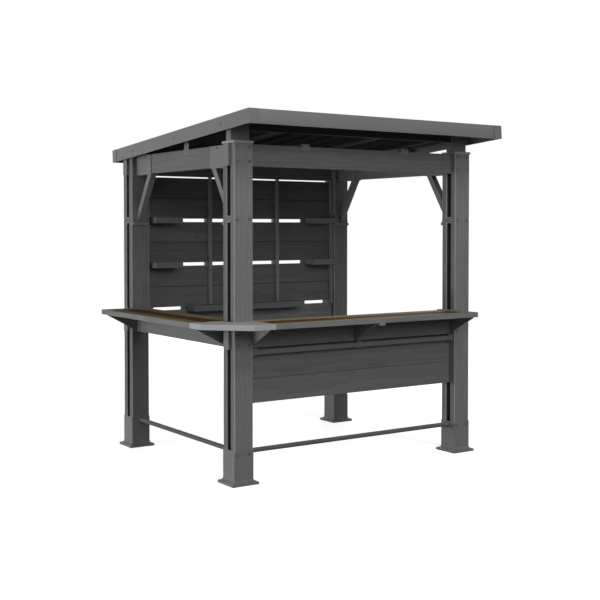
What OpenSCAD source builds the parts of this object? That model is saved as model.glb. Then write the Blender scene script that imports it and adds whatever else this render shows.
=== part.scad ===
// Bar gazebo: a four-post garden pavilion with a lean-to metal roof, an L-shaped
// bar counter round the near corner and a boarded back wall with shelves.
// X runs along the front, Y runs to the back, Z is up, all in millimetres.
// The origin is on the ground, in the middle of the plan outline.

/* [Posts and bases] */
// Distance between post centres, left to right
grid_w = 1905; // [1500:5:2600]
// Distance between post centres, front to back
grid_d = 1524; // [1300:4:2200]
// Side of the square post, made of two boards with a slot between
post_w = 142; // [110:2:180]
// Height of the steel sleeve at the foot of a post
sleeve_h = 230; // [200:2:400]
// Wall of the steel sleeve
sleeve_t = 2; // [1.5:0.5:6]
// Side of the square foot flange
flange_w = 200; // [190:2:300]
// Height at which the foot's hollow curve meets the sleeve
flange_h = 38; // [30:1:60]
// Height of the upright rim of the foot
flange_rim = 17; // [8:1:22]
// Radius of the foot's hollow curve
flange_r = 17; // [6:1:20]
// Floor of the sleeve that the post stands on
floor_t = 6; // [3:0.5:12]
// Height of the filler block in the post slot
filler_h = 44; // [20:2:80]
// Middle of that block, measured down from the underside of the beams
filler_drop = 347; // [250:1:450]

/* [Beams and rails] */
// Thickness of beams and rails, which is also the width of the post slot
beam_t = 45; // [30:1:60]
// Height of beams and rails
beam_h = 144; // [100:2:200]
// Underside of the roof beams above the ground
beam_z = 2082; // [1950:2:2400]
// How far the steel beam end covers stand out
cover_out = 21; // [6:1:30]
// Width of the beam end covers
cover_w = 63; // [46:1:90]
// Plate thickness of the beam shoes and knee brackets
plate_t = 6; // [4:0.5:10]
// Length of a beam shoe
shoe_len = 245; // [180:5:320]
// Drop of the knee bracket below the beams
knee_drop = 385; // [250:1:500]
// Reach of the knee bracket along the beam
knee_reach = 236; // [150:2:300]
// Depth of the diagonal where it meets the beam shoe
knee_depth = 55; // [30:1:80]
// Width of the knee bracket's back plate, which runs up past the beam
knee_plate_w = 132; // [90:2:140]
// Height of the lip below the back plate
knee_lip_h = 24; // [12:1:40]
// How far that lip stands out
knee_lip_out = 22; // [10:1:40]

/* [Bar counter] */
// Height of the bar top above the ground
counter_z = 1067; // [950:1:1150]
// Overhang of the bar top beyond the post faces
counter_over = 250; // [180:5:350]
// Height of the counter edge boards
edge_h = 36; // [25:1:50]
// Thickness of the counter edge boards
edge_t = 22; // [15:1:30]
// How far the planks lie below the top of the edge boards
plank_drop = 7; // [3:0.5:12]
// Gap between counter planks
plank_gap = 5; // [3:0.5:10]
// Number of planks in each counter
planks = 3; // [2:1:5]
// Width of the trim across each counter end
end_trim = 50; // [30:1:80]
// Corner cut of the corner plate
corner_cut = 248; // [120:4:330]
// How far the corner plate runs past the post, along the front
corner_past = 20; // [5:1:60]
// Reach of the counter gussets beyond the post face
gusset_reach = 204; // [120:4:240]
// Height of the counter gussets
gusset_h = 142; // [100:2:180]
// Width of the gusset flanges
gusset_w = 30; // [15:1:50]
// Plate thickness of the gusset flanges
gusset_t = 5; // [3:0.5:8]
// Thickness of the folded gusset web
gusset_web = 10; // [4:1:20]
// Width of the clip below the middle of the front edge board
edge_clip_w = 47; // [30:1:80]
// Drop of that clip
edge_clip_h = 17; // [8:1:24]

/* [Front panel] */
// Underside of the front panel above the ground
panel_z = 520; // [350:5:700]
// Thickness of the wall and panel boards
board_t = 20; // [12:1:28]
// How far the panel's ends reach into the post slots
panel_tongue = 4; // [2:0.5:10]
// Width of the groove at each board joint
groove_w = 3; // [1:0.5:5]
// Depth of that groove, on both faces
groove_d = 6; // [2:0.5:8]
// Thickness of the drinks ledge on the panel, which fits under the rail
ledge_t = 40; // [24:1:60]
// How much of the ledge board shows above its steel strip
ledge_reveal = 7; // [3:1:16]
// Thickness of the steel strip along the ledge's front edge
ledge_strip = 10; // [6:1:16]
// Width of each clip round the ledge
ledge_clip_w = 45; // [30:1:80]
// Depth of the clip legs over and under the ledge
ledge_clip_leg = 26; // [12:1:40]
// How far the ledge stays behind the post faces
ledge_in = 16; // [4:1:40]

/* [Back wall] */
// Height of the open slots between board pairs
slot_h = 26; // [12:1:40]
// Height of the thin slot below the roof beam
top_slot = 11; // [5:1:20]
// Number of board pairs
rows = 3; // [2:1:4]
// Width of the middle battens
batten_w = 20; // [15:1:60]
// Width of the end battens
end_batten = 20; // [15:1:35]
// Depth of the battens, from the boards to their face
batten_t = 36; // [24:1:50]
// Gap between the boards and the wall battens
batten_gap = 8; // [0:1:15]
// Height of the pads that bridge this gap at every slot
pad_h = 40; // [26:1:60]
// Distance of the middle battens from the wall centre
batten_x = 320; // [240:5:450]
// Length of the end blocks in the slots
end_block = 68; // [45:1:90]
// Length of the blocks at the middle battens
mid_block = 60; // [60:1:90]
// Depth of the shelves, measured from the boards
shelf_d = 131; // [90:1:260]
// Height of the shelf edges
shelf_h = 46; // [30:1:60]
// Thickness of the shelf boards and edges
shelf_t = 18; // [10:1:25]
// Length of the small shelves
shelf_len = 233; // [150:1:300]
// Space between a small shelf and the post
shelf_gap = 29; // [26:1:60]
// How far the block below a shelf end reaches past it and under it
shelf_block = 40; // [20:1:80]
// Length of the long shelf
long_len = 1050; // [700:10:1400]

/* [Foot rails] */
// Diameter of the foot rails
rail_d = 32; // [20:1:50]
// Height of the foot rails above the ground
rail_z = 206; // [120:2:206]
// Diameter of the end sockets
socket_d = 46; // [40:1:48]
// Length of the end sockets
socket_len = 14; // [6:1:30]

/* [Roof] */
// Slope of the roof in degrees, falling to the back
roof_angle = 4.2; // [2:0.1:7]
// Overhang of the roof at the front
over_front = 276; // [150:4:450]
// Overhang of the roof at the back
over_back = 68; // [40:2:250]
// Overhang of the roof at the sides
over_side = 60; // [40:2:250]
// Height of the fascias
fascia_h = 95; // [70:1:140]
// Sheet thickness of the fascias
fascia_t = 3; // [1.5:0.5:5]
// Length of the fascia tabs round the corners
tab_len = 70; // [40:1:120]
// Width of the fascia's top flange
flange_in = 28; // [15:1:50]
// Depth of the roof frame tubes
tube_h = 20; // [15:1:40]
// Thickness of the roof sheet
sheet_t = 2; // [1:0.5:4]
// Height of the roof sheet ribs
rib_h = 12; // [8:1:25]
// Number of ribs across the roof sheet
ribs = 12; // [6:1:16]
// Width of a rib at its foot
rib_w = 46; // [30:1:60]
// Height of the front header below the roof frame
header_h = 46; // [30:1:60]
// Distance of the ceiling ties from the middle
tie_x = 433; // [250:5:600]
// Width of the ceiling ties
tie_w = 58; // [40:1:80]
// Depth of the ceiling ties
tie_h = 16; // [8:1:16]

/* [Caps and ties] */
// How far the post caps stand out
cap_out = 5; // [4:0.5:10]
// Thickness of the cap plate
cap_t = 4; // [3:0.5:8]
// Height of the cap skirt
cap_skirt = 12; // [6:1:20]
// Wall of the risers around the beam line
riser_wall = 6.5; // [0:0.5:10]
// Clearance between pieces that slide over each other
clear = 1; // [0.5:0.25:1.5]
// Plate thickness of the clips and straps
clip_t = 3; // [2:0.5:5]
// Drop of the beam clips below the beam top
clip_drop = 24; // [15:1:60]
// Width of the side straps
strap_w = 68; // [40:1:100]
// Drop of the side straps below the beam top
strap_drop = 34; // [20:1:80]

/* [Hidden] */
half = 1 / 2;
px = grid_w * half;
py = grid_d * half;
pw = post_w * half;
bt = beam_t * half;
in_x = px - pw;
in_y = py - pw;
out_x = px + pw;
out_y = py + pw;
leaf_t = (post_w - beam_t) * half;
beam_top = beam_z + beam_h;
post_top = beam_top + clear + cap_skirt;
cap_top = post_top + cap_t;
cap_y = out_y + cap_out;
counter_under = counter_z - edge_h;
low_z = counter_under - beam_h;
plank_top = counter_z - plank_drop;
ledge_y = ledge_in - out_y;
ledge_top = low_z - clip_t;
ledge_z = ledge_top - ledge_t;
panel_board = (ledge_z - panel_z) * half;
cx0 = out_x + counter_over;
cy0 = out_y + counter_over;
board_y = py - board_t * half;
knee_z = beam_z - knee_drop;
shoe_w = beam_t + 2 * plate_t;
wall_h = beam_z - top_slot - counter_under;
row_h = (wall_h - rows * slot_h) / rows;
row_pitch = row_h + slot_h;
riser_t = beam_t + 2 * riser_wall;
fall = tan(roof_angle);
roof_x = out_x + over_side;
fascia_top = tube_h + sheet_t + rib_h + fascia_t;
fascia_low = fascia_top - fascia_h;
v0 = -(cap_y + out_y + over_front) / cos(roof_angle);
v1 = (out_y + over_back - cap_y) / cos(roof_angle);
side_x = roof_x - fascia_t;
frame_x = side_x - fascia_t;
frame_v0 = v0 + 2 * fascia_t;
frame_v1 = v1 - fascia_t;
reach_front = -(cap_y + v0 * cos(roof_angle) + fascia_low * sin(roof_angle));
reach_back = cap_y + v1 * cos(roof_angle) + fascia_top * sin(roof_angle);
shift_x = (cx0 - roof_x) * half;
shift_y = (max(reach_front, cy0) - reach_back) * half;
steel = [0.36, 0.37, 0.39];
stain = [0.38, 0.38, 0.38];
pale = [0.62, 0.62, 0.63];
brown = [0.42, 0.32, 0.19];
dark = [0.22, 0.22, 0.23];
round_fn = 64;
foot_steps = 5;
crest_share = 0.6;
eps = 0.01;

// Everything stands on the shared frame, centred on its outline.
module place() {
    translate([shift_x, shift_y, 0]) children();
}

// A box from its low and high corners.
module span(a, b) {
    translate(a) cube(b - a);
}

// A profile drawn in Y and Z, run along X.
module along_x(x0, x1) {
    translate([x0, 0, 0]) rotate([90, 0, 90]) linear_extrude(height = x1 - x0) children();
}

// A profile drawn in X and Z, run along Y.
module along_y(y0, y1) {
    translate([0, y1, 0]) rotate([90, 0, 0]) linear_extrude(height = y1 - y0) children();
}

// The tilted plane on which the roof frame lies.
module on_roof() {
    translate([0, cap_y, cap_top]) rotate([-roof_angle, 0, 0]) children();
}

// Height of that plane above a line at y.
function under(y) = cap_top + fall * (cap_y - y);

// Both sides of the middle, mirrored left to right.
module both_x() {
    children();
    mirror([1, 0, 0]) children();
}

// Front and back, mirrored.
module both_y() {
    children();
    mirror([0, 1, 0]) children();
}

// Two boards with a slot between them, held apart by filler blocks.
module post(sx, sy) {
    mid_z = beam_z - filler_drop;
    color(stain) place() translate([sx * px, sy * py, 0]) {
        both_y() span([-pw, bt, floor_t], [pw, pw, post_top]);
        span([-pw, -bt, floor_t], [pw, bt, sleeve_h * half]);
        span([-pw, -bt, mid_z - filler_h * half], [pw, bt, mid_z + filler_h * half]);
    }
}

// Steel sleeve on a square foot, whose rim runs up to the sleeve in a hollow curve.
module base(sx, sy) {
    fw = flange_w * half;
    sw = pw + sleeve_t;
    curve = [for (i = [0 : foot_steps]) let (a = i * 90 / foot_steps)
        [sw + flange_r * (1 - sin(a)), flange_h - flange_r * cos(a)]];
    side = concat([[fw, 0], [fw, flange_rim]], curve, [[sw, sleeve_h]]);
    outline = concat(side, [for (i = [len(side) - 1 : -1 : 0]) [-side[i][0], side[i][1]]]);
    color(steel) place() translate([sx * px, sy * py, 0]) difference() {
        intersection() {
            along_x(-fw, fw) polygon(outline);
            along_y(-fw, fw) polygon(outline);
        }
        span([-pw, -pw, floor_t], [pw, pw, sleeve_h + eps]);
    }
}

// Beam along X through the slots of two posts.
module cross_beam(sy, z) {
    color(stain) place() span([-out_x, sy * py - bt, z], [out_x, sy * py + bt, z + beam_h]);
}

// Beam along Y between two posts. The left rail is a steel tube of the same size.
module side_beam(sx, z, tone = stain) {
    color(tone) place() span([sx * px - bt, -in_y, z], [sx * px + bt, in_y, z + beam_h]);
}

// Steel covers over the ends of every beam and rail that passes a post.
module end_covers() {
    color(steel) place() both_x() both_y() for (z = [beam_z, low_z])
        span([out_x, py - cover_w * half, z - clear],
            [out_x + cover_out, py + cover_w * half, z + beam_h]);
}

// Beam shoe, back plate, lip and diagonal as one welded knee bracket.
module bracket(sx, sy) {
    top = beam_z - plate_t;
    weld = beam_z - plate_t * half;
    foot = knee_z + knee_lip_h;
    rise = (weld - foot) / (knee_reach - plate_t);
    kw = knee_plate_w * half;
    sw = shoe_w * half;
    color(steel) place() translate([sx * px, sy * in_y, 0]) mirror([0, max(sy, 0), 0]) {
        difference() {
            union() {
                span([-sw, 0, top], [sw, shoe_len, beam_top]);
                span([-kw, 0, knee_z], [kw, plate_t, beam_top]);
            }
            span([-bt, -eps, beam_z], [bt, shoe_len + eps, beam_top + eps]);
        }
        span([-kw, 0, knee_z], [kw, knee_lip_out, foot]);
        along_x(-bt, bt) polygon([
            [0, foot], [plate_t, foot], [knee_reach, weld],
            [knee_reach - knee_depth, weld],
            [plate_t, foot + knee_depth * rise], [0, foot + knee_depth * rise]
        ]);
    }
}

// Planks of one counter, run along X from 0, spread over a depth along Y.
module planks(len, depth) {
    w = (depth - plank_gap * (planks - 1)) / planks;
    for (i = [0 : planks - 1]) translate([0, i * (w + plank_gap), 0])
        span([0, 0, counter_under], [len, w, plank_top]);
}

module planks_left() {
    color(brown) place() translate([-in_x, -in_y, 0]) rotate([0, 0, 90])
        planks(2 * in_y - end_trim, cx0 - in_x - edge_t);
}

module planks_front() {
    color(brown) place() translate([corner_past - in_x, edge_t - cy0, 0])
        planks(2 * in_x - corner_past - end_trim, cy0 - in_y - edge_t);
}

// Edge board and end trim of the left counter.
module edge_left() {
    color(steel) place() {
        span([-cx0, -in_y, counter_under], [edge_t - cx0, in_y - end_trim, counter_z]);
        span([-cx0, in_y - end_trim, counter_under], [-in_x, in_y, counter_z]);
    }
}

// Edge board and end trim of the front counter.
module edge_front() {
    color(steel) place() {
        span([corner_past - in_x, -cy0, counter_under], [in_x - end_trim, edge_t - cy0, counter_z]);
        span([in_x - end_trim, -cy0, counter_under], [in_x, -in_y, counter_z]);
        span([-edge_clip_w * half, -cy0, counter_under - edge_clip_h],
            [edge_clip_w * half, edge_t - cy0, counter_under + eps]);
    }
}

// Corner plate with the outer corner cut off, notched round the post.
module corner_plate() {
    color(pale) place() translate([0, 0, counter_under])
        linear_extrude(height = edge_h) polygon([
            [-cx0, -in_y], [-cx0, corner_cut - cy0], [corner_cut - cx0, -cy0],
            [corner_past - in_x, -cy0], [corner_past - in_x, -in_y], [-in_x, -in_y],
            [-in_x, -out_y], [-out_x, -out_y], [-out_x, -in_y]
        ]);
}

// Triangular gusset reaching from 0 outwards along -Y, its web on one side.
module gusset(reach) {
    low = counter_under - gusset_h;
    along_x(0, gusset_web) polygon([
        [0, counter_under], [0, low], [-gusset_t, low],
        [-reach, counter_under - 2 * gusset_t], [-reach, counter_under]
    ]);
    span([0, -reach, counter_under - gusset_t], [gusset_w, 0, counter_under]);
    span([0, -gusset_t, low], [gusset_w, 0, counter_under]);
}

module gussets_left() {
    r = gusset_reach + leaf_t;
    color(steel) place() {
        translate([-px - bt, -in_y, 0]) rotate([0, 0, -90]) mirror([1, 0, 0]) gusset(r);
        translate([-px - bt, in_y, 0]) rotate([0, 0, -90]) gusset(r);
    }
}

module gussets_front() {
    r = gusset_reach + leaf_t;
    color(steel) place() {
        translate([-in_x, -py - bt, 0]) gusset(r);
        translate([-gusset_w * half, -py - bt, 0]) gusset(r);
        translate([in_x, -py - bt, 0]) mirror([1, 0, 0]) gusset(r);
    }
}

// Boards joined edge to edge along X, with a groove at each joint.
module boards(x0, x1, z0, count, h) {
    difference() {
        span([x0, -board_t * half, z0], [x1, board_t * half, z0 + count * h]);
        if (count > 1) for (i = [1 : count - 1]) both_y()
            span([x0 - eps, board_t * half - groove_d, z0 + i * h - groove_w * half],
                [x1 + eps, board_t * half + eps, z0 + i * h + groove_w * half]);
    }
}

module front_panel() {
    color(stain) place() translate([0, -py, 0]) {
        boards(-in_x, in_x, panel_z, 2, panel_board);
        for (x = [-in_x, -end_batten * half, in_x - end_batten])
            span([x, board_t * half - eps, panel_z],
                [x + end_batten, board_t * half + batten_t, ledge_z]);
        both_x() span([in_x - eps, -bt, panel_z], [in_x + panel_tongue, bt, ledge_z]);
    }
}

module front_ledge() {
    color(brown) place() span([-in_x, ledge_y + ledge_strip, ledge_z],
        [in_x, bt - py, ledge_top]);
}

// Steel strip along the front of the ledge with its three clips.
module ledge_edge() {
    t = clip_t;
    leg = ledge_y + ledge_clip_leg;
    top = ledge_top;
    w = ledge_clip_w * half;
    color(steel) place() {
        span([-in_x, ledge_y, ledge_z], [in_x, ledge_y + ledge_strip, top - ledge_reveal]);
        for (x = [w - in_x, 0, in_x - w]) along_x(x - w, x + w) polygon([
            [ledge_y - t, ledge_z - t], [leg, ledge_z - t], [leg, ledge_z],
            [ledge_y + eps, ledge_z], [ledge_y + eps, top], [leg, top],
            [leg, top + t], [ledge_y - t, top + t]
        ]);
    }
}

module wall_boards() {
    color(dark) place() translate([0, py, 0]) for (i = [0 : rows - 1])
        boards(-in_x, in_x, counter_under + slot_h + i * row_pitch, 2, row_h * half);
}

// Upright batten clear of the boards, with a block and a pad at every slot behind it.
module batten(x, w, block, pad) {
    span([x, -batten_t, counter_under], [x + w, -batten_gap, beam_z]);
    for (i = [0 : rows - 1]) {
        z = counter_under + i * row_pitch;
        mid = z + slot_h * half;
        span([block[0], -eps, z], [block[1], board_t, z + slot_h]);
        span([pad[0], -batten_gap - eps, max(mid - pad_h * half, counter_under)],
            [pad[1], 0, mid + pad_h * half]);
    }
}

module wall_battens() {
    mid = [batten_x - mid_block * half, batten_x + mid_block * half];
    color(steel) place() translate([0, board_y, 0]) both_x() {
        batten(batten_x - batten_w * half, batten_w, mid, mid);
        batten(in_x - end_batten, end_batten, [in_x - end_block, in_x], [in_x - end_batten, in_x]);
    }
}

// Shelf board with a deep edge strip at the front and both ends.
module shelf(x0, x1, top, strip_back) {
    lo = top - shelf_h;
    span([x0, -shelf_d, top - shelf_t], [x1, 0, top]);
    span([x0, -shelf_d, lo], [x1, shelf_t - shelf_d, top]);
    span([x0, -shelf_d, lo], [x0 + shelf_t, -strip_back, top]);
    span([x1 - shelf_t, -shelf_d, lo], [x1, -strip_back, top]);
}

// Block in a wall slot that carries the end of a shelf.
module slot_block(x, row) {
    span([x - shelf_block, -eps, counter_under + row * row_pitch],
        [x + shelf_block, board_t, counter_under + row * row_pitch + slot_h]);
}

module small_shelves() {
    x1 = in_x - shelf_gap;
    x0 = x1 - shelf_len;
    color(steel) place() translate([0, board_y, 0]) both_x() for (i = [1 : rows - 1]) {
        shelf(x0, x1, counter_under + i * row_pitch + (slot_h + shelf_h) * half, 0);
        slot_block(x0, i);
    }
}

// Long shelf level with the counter, notched round the battens and their pads.
module long_shelf() {
    end = long_len * half;
    color(steel) place() translate([0, board_y, 0]) {
        difference() {
            shelf(-end, end, counter_z, bt);
            both_x() {
                span([batten_x - batten_w * half - clear, -batten_t - clear, 0],
                    [batten_x + batten_w * half + clear, eps, beam_z]);
                span([batten_x - mid_block * half - clear, -batten_gap - clear, 0],
                    [batten_x + mid_block * half + clear, eps, beam_z]);
            }
        }
        both_x() slot_block(end, 0);
    }
}

// Round foot rail between two sleeves, with a socket at each end.
module foot_rail(len) {
    cylinder(h = len, d = rail_d, $fn = round_fn);
    cylinder(h = socket_len, d = socket_d, $fn = round_fn);
    translate([0, 0, len - socket_len]) cylinder(h = socket_len, d = socket_d, $fn = round_fn);
}

module foot_rail_left() {
    r = in_y - sleeve_t;
    color(steel) place() translate([-px, r, rail_z]) rotate([90, 0, 0]) foot_rail(2 * r);
}

module foot_rail_front() {
    r = in_x - sleeve_t;
    color(steel) place() translate([-r, -py, rail_z]) rotate([0, 90, 0]) foot_rail(2 * r);
}

// Thin square cap over a post and the riser that carries the roof frame.
module cap(sx, sy) {
    cw = pw + cap_out;
    y = sy * py;
    r = riser_t * half;
    color(steel) place() {
        translate([sx * px, y, 0]) difference() {
            span([-cw, -cw, post_top - cap_skirt], [cw, cw, cap_top]);
            span([-pw - clear, -pw - clear, 0], [pw + clear, pw + clear, post_top]);
        }
        along_x(sx * px - pw, sx * px + pw) polygon([
            [y - r, post_top], [y + r, post_top], [y + r, under(y + r)], [y - r, under(y - r)]
        ]);
    }
}

module post_caps() {
    for (sx = [-1, 1], sy = [-1, 1]) cap(sx, sy);
}

// Sloping tubes of the welded roof frame, over the beams, the ties and at the sides.
module roof_rafters() {
    color(steel) place() on_roof() for (x = [-px, -tie_x, tie_x, px, bt - frame_x, frame_x - bt])
        span([x - bt, frame_v0 + beam_t, 0], [x + bt, frame_v1 - beam_t, tube_h]);
}

// Front and back tubes that close the frame, and the header over the front beam.
module roof_cross_tubes() {
    y0 = -py - bt;
    y1 = bt - py;
    color(steel) place() {
        on_roof() for (v = [frame_v0, frame_v1 - beam_t])
            span([-frame_x, v, 0], [frame_x, v + beam_t, tube_h]);
        along_x(-in_x, in_x) polygon([
            [y0, under(-py) - header_h], [y1, under(-py) - header_h],
            [y1, under(y1)], [y0, under(y0)]
        ]);
    }
}

// Ribbed metal roof sheet, ribs running down the fall.
module roof_sheet() {
    w = frame_x - clear;
    pitch = 2 * w / ribs;
    top = sheet_t + rib_h;
    flat = rib_w * crest_share * half;
    crest = [for (i = [0 : ribs - 1], k = [0 : 3]) let (c = (i + half) * pitch - w)
        [[c - rib_w * half, 0], [c - flat, rib_h], [c + flat, rib_h], [c + rib_w * half, 0]][k]];
    upper = [for (p = crest) [p[0], p[1] + sheet_t]];
    lower = [for (i = [len(crest) - 1 : -1 : 0]) crest[i]];
    color(steel) place() on_roof() translate([0, 0, tube_h])
        along_y(frame_v0 + clear, frame_v1 - clear)
            polygon(concat([[-w, 0], [-w, sheet_t]], upper, [[w, sheet_t], [w, 0]], lower));
}

// Folded fascia seen from its end: web, top flange and bottom lip.
module fold() {
    t = fascia_t;
    polygon([
        [0, fascia_low], [flange_in * half, fascia_low], [flange_in * half, fascia_low + t],
        [t, fascia_low + t], [t, fascia_top - t], [flange_in, fascia_top - t],
        [flange_in, fascia_top], [0, fascia_top]
    ]);
}

module fascia_front() {
    color(steel) place() on_roof() translate([0, v0 + fascia_t, 0])
        along_x(-frame_x, frame_x) fold();
}

module fascia_back() {
    t = fascia_t;
    color(steel) place() on_roof() {
        translate([0, v1, 0]) mirror([0, 1, 0]) along_x(-frame_x, frame_x) fold();
        both_x() {
            span([frame_x - eps, v1 - t, fascia_low], [roof_x, v1, fascia_top]);
            span([side_x, v1 - tab_len, fascia_low], [roof_x, v1, fascia_top]);
        }
    }
}

// Side fascia, wrapped round the front corner by its tab.
module fascia_side() {
    t = fascia_t;
    f = flange_in;
    color(steel) on_roof() {
        span([frame_x, v0, fascia_low], [side_x, v1 - t, fascia_top]);
        span([side_x - tab_len, v0, fascia_low], [side_x, v0 + t, fascia_top]);
        span([frame_x - f, frame_v0 + f - t, fascia_top - t], [side_x, frame_v1 - f, fascia_top]);
    }
}

module fascia_left() {
    place() mirror([1, 0, 0]) fascia_side();
}

module fascia_right() {
    place() fascia_side();
}

// Ceiling ties over the beams with their clips, and the straps at the sides.
module roof_ties() {
    b = py + bt;
    tw = tie_w * half;
    cw = tw + clip_t;
    z = beam_top + tie_h;
    y = (over_back - over_front) * half;
    s = strap_w * half;
    color(steel) place() both_x() {
        span([tie_x - tw, -b, beam_top], [tie_x + tw, b, z]);
        both_y() difference() {
            span([tie_x - cw, py - bt - clip_t, beam_top - clip_drop],
                [tie_x + cw, b + clip_t, z + clip_t]);
            span([tie_x - cw - eps, py - bt, 0], [tie_x + cw + eps, b, beam_top]);
            span([tie_x - tw, py - beam_t - clip_t, beam_top], [tie_x + tw, b, z]);
        }
        span([px + bt, y - s, beam_top - strap_drop],
            [px + bt + clip_t, y + s, under(y) + tube_h * half]);
    }
}

post(-1, -1);  // post_front_left
post(1, -1);  // post_front_right
post(-1, 1);  // post_back_left
post(1, 1);  // post_back_right
base(-1, -1);  // base_front_left
base(1, -1);  // base_front_right
base(-1, 1);  // base_back_left
base(1, 1);  // base_back_right
cross_beam(-1, beam_z);  // beam_front
cross_beam(1, beam_z);  // beam_back
side_beam(-1, beam_z);  // beam_left
side_beam(1, beam_z);  // beam_right
end_covers();
cross_beam(-1, low_z);  // rail_front
cross_beam(1, low_z);  // rail_back
side_beam(-1, low_z, steel);  // rail_left
bracket(-1, -1);  // bracket_front_left
bracket(1, -1);  // bracket_front_right
bracket(-1, 1);  // bracket_back_left
bracket(1, 1);  // bracket_back_right
planks_left();
planks_front();
edge_left();
edge_front();
corner_plate();
gussets_left();
gussets_front();
front_panel();
front_ledge();
ledge_edge();
wall_boards();
wall_battens();
small_shelves();
long_shelf();
foot_rail_left();
foot_rail_front();
post_caps();
roof_rafters();
roof_cross_tubes();
roof_sheet();
fascia_front();
fascia_back();
fascia_left();
fascia_right();
roof_ties();
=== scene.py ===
# %% [markdown]
# # A bar gazebo, dressed in Blender
#
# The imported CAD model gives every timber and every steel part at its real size. This notebook
# gives them their looks: eased edges, stained wood with its grain along each board, coated
# steel, bolts and screws, a studio and a camera. Lengths are in metres.

# %% Load the frame
import math

import bmesh
import bpy
from mathutils import Matrix, Vector
from mathutils.bvhtree import BVHTree


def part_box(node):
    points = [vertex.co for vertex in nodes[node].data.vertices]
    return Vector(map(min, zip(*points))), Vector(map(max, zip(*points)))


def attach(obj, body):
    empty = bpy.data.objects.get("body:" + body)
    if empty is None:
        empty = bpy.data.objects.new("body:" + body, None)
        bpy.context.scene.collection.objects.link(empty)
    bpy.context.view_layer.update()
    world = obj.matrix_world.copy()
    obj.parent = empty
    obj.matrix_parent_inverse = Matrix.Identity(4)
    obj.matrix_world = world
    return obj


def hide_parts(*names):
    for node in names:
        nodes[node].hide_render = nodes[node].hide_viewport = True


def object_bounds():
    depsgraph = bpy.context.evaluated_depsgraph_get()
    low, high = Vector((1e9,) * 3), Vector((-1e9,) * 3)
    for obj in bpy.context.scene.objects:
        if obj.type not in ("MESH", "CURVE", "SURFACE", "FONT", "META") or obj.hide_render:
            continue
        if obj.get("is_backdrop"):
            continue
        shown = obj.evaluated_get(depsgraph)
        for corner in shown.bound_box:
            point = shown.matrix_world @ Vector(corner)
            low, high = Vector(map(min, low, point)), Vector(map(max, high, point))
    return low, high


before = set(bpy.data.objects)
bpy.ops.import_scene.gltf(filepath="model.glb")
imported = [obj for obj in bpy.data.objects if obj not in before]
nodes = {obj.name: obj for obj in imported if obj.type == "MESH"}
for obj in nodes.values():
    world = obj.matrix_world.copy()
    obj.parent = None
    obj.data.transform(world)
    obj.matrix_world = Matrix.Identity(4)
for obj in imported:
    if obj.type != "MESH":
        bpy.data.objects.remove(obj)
cad_low, cad_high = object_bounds()
size = cad_high - cad_low
print("CAD nodes:", len(nodes), " size in metres:", [round(v, 3) for v in size])

# %% [markdown]
# ## Measures taken from the frame
#
# Nothing is typed twice. The posts, beams and rails are read from their boxes, and the details
# below are set out from them, so the dressing follows the CAD model if a size changes.

# %% Boxes of the main parts
MM = 0.001


def middle(node):
    low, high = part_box(node)
    return (low + high) / 2


def extent(node):
    low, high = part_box(node)
    return high - low


POSTS = ["post_front_left", "post_front_right", "post_back_left", "post_back_right"]
post_side = extent("post_front_left").x
half_post = post_side / 2
board = extent("beam_front").y
beam_low, beam_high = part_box("beam_front")
rail_low, rail_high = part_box("rail_front")
sleeve_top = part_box("base_front_left")[1].z
counter_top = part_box("corner_plate")[1].z
print("post", round(post_side, 4), "board", round(board, 4), "counter", round(counter_top, 4))

# %% [markdown]
# ## Two small tools for node trees
#
# Materials and Geometry Nodes are both built from boxes and wires. `Wires` adds a node, sets
# its plain values and joins it to others in one call, which keeps each recipe readable.

# %% A helper that builds node trees


class Wires:
    """Adds nodes to a tree. Values in a dict go to sockets; a socket as value makes a link."""

    def __init__(self, tree):
        self.tree = tree

    def node(self, kind, sockets=None, **settings):
        made = self.tree.nodes.new(kind)
        for name, value in settings.items():
            setattr(made, name, value)
        for key, value in (sockets or {}).items():
            if isinstance(value, bpy.types.NodeSocket):
                self.tree.links.new(value, made.inputs[key])
            else:
                made.inputs[key].default_value = value
        return made

    def math(self, operation, a, b=0.0, clamp=False):
        made = self.node("ShaderNodeMath", operation=operation, use_clamp=clamp)
        for socket, value in zip(made.inputs, (a, b)):
            if isinstance(value, bpy.types.NodeSocket):
                self.tree.links.new(value, socket)
            else:
                socket.default_value = value
        return made.outputs[0]

    def blend(self, factor, a, b, mode="MIX"):
        made = self.node("ShaderNodeMix", data_type="RGBA", blend_type=mode)
        for name, value in (("Factor_Float", factor), ("A_Color", a), ("B_Color", b)):
            socket = next(s for s in made.inputs if s.identifier == name)
            if isinstance(value, bpy.types.NodeSocket):
                self.tree.links.new(value, socket)
            else:
                socket.default_value = value
        return next(s for s in made.outputs if s.identifier == "Result_Color")

    def ramp(self, factor, stops):
        made = self.node("ShaderNodeValToRGB", {"Fac": factor})
        ramp = made.color_ramp
        while len(ramp.elements) < len(stops):
            ramp.elements.new(1.0)
        for element, (place, tone) in zip(ramp.elements, stops):
            element.position = place
            element.color = (tone, tone, tone, 1) if isinstance(tone, float) else tone
        return made.outputs["Color"]


def grey(value, tint=(1.0, 1.0, 1.0)):
    return (value * tint[0], value * tint[1], value * tint[2], 1)


def new_material(name):
    material = bpy.data.materials.new(name)
    material.use_nodes = True
    material.node_tree.nodes.clear()
    return material, Wires(material.node_tree)


print("tree helper ready")

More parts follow.
